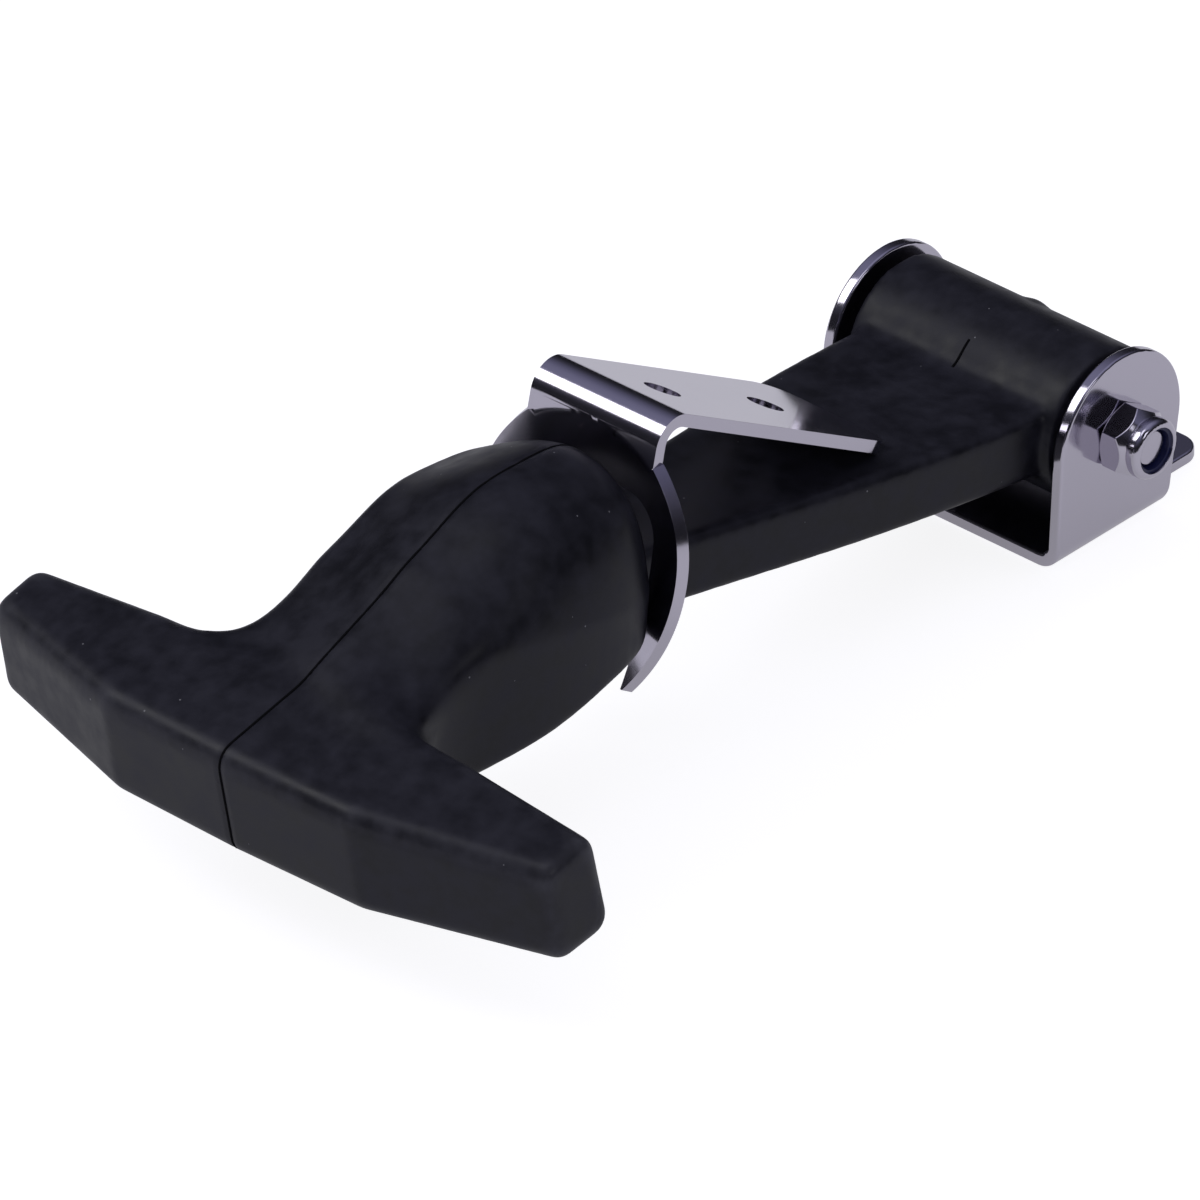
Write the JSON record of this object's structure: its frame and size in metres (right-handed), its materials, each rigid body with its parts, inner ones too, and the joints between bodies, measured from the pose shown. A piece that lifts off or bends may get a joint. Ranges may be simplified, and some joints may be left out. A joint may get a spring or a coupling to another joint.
{
  "type": "rubber t draw latch",
  "caption": "Moulded rubber T-handle strap with a soft bulb, hinged on a bolt in a polished steel U bracket, with the forked screw-on keeper that the bulb hooks behind.",
  "frame": {"origin": "on the bracket's mounting face, midway between the ears and straight below the pivot bolt", "axes": "+X from the bracket along the strap towards the T-handle, +Y towards the lock nut, +Z away from the mounting face"},
  "size_m": [0.1552, 0.0872, 0.0445],
  "materials": {
    "black_rubber": "moulded, satin",
    "polished_sheet": "polished stainless steel",
    "turned_steel": "bright stainless steel",
    "blue_nylon": "matt"
  },
  "bodies": {
    "bracket": {"mounting_bracket": "polished_sheet", "pivot_bolt": "turned_steel", "pivot_sleeve": "turned_steel", "lock_nut": "turned_steel", "nut_insert": "blue_nylon"},
    "strap": {"rubber_handle": "black_rubber", "keeper": "polished_sheet"}
  },
  "joints": [
    {"name": "strap_pivot", "type": "hinge", "parent": "bracket", "child": "strap", "pos_m": [0, 0, 0.0141], "axis": [0, -1, 0], "range_deg": [-4.8, 165]}
  ]
}
